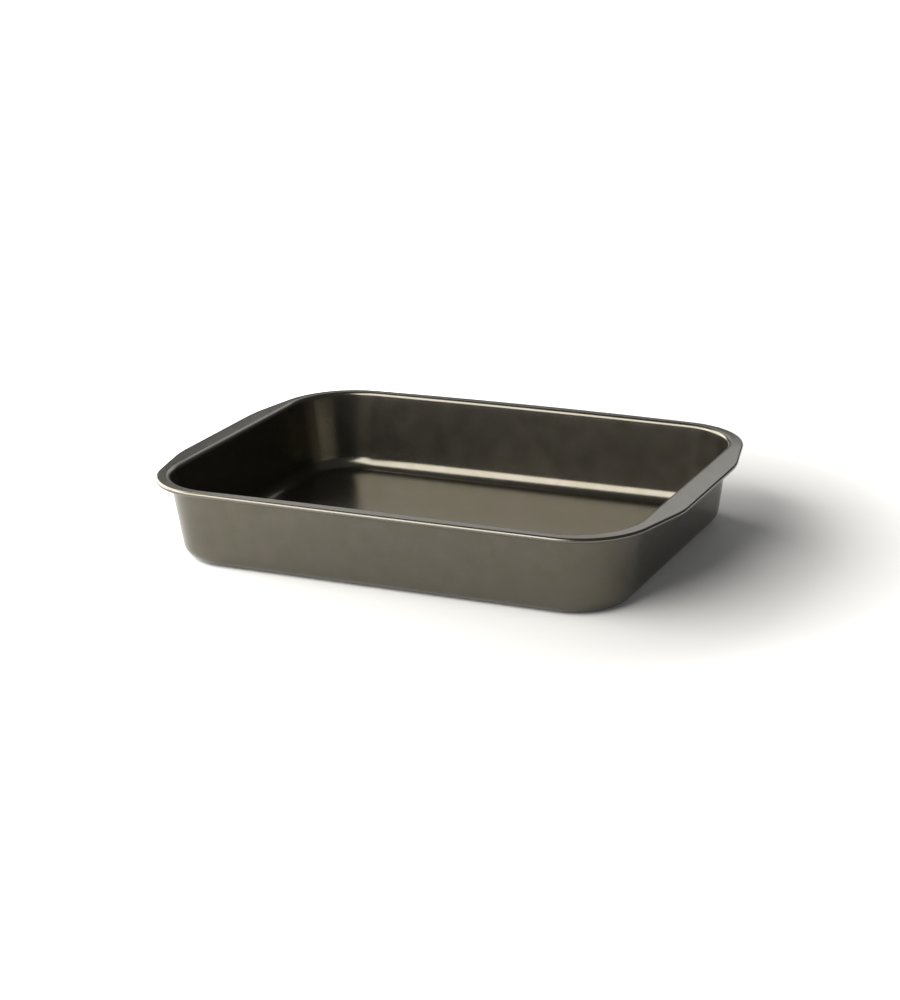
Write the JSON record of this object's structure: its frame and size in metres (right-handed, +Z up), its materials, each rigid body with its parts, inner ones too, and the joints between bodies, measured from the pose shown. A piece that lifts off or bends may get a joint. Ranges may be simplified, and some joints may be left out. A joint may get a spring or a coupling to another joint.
{
  "type": "lasagna dish",
  "caption": "Rectangular metal baking dish with leaning walls, round corners, a flat rim that widens into a grip at each short end, and a rolled edge stiffened by a hidden wire.",
  "frame": {"origin": "middle of the underside, on the surface the dish stands on", "axes": "+X along the dish from grip to grip, +Y across it, +Z up out of the open top"},
  "size_m": [0.38, 0.2772, 0.059],
  "materials": {
    "nonstick_coating": "satin dark grey-brown non-stick coating on thin steel sheet",
    "bare_wire": "plain drawn steel wire, hidden in the rolled edge"
  },
  "bodies": {
    "root": {"pan_body": "nonstick_coating", "rim_wire": "bare_wire"}
  },
  "joints": []
}
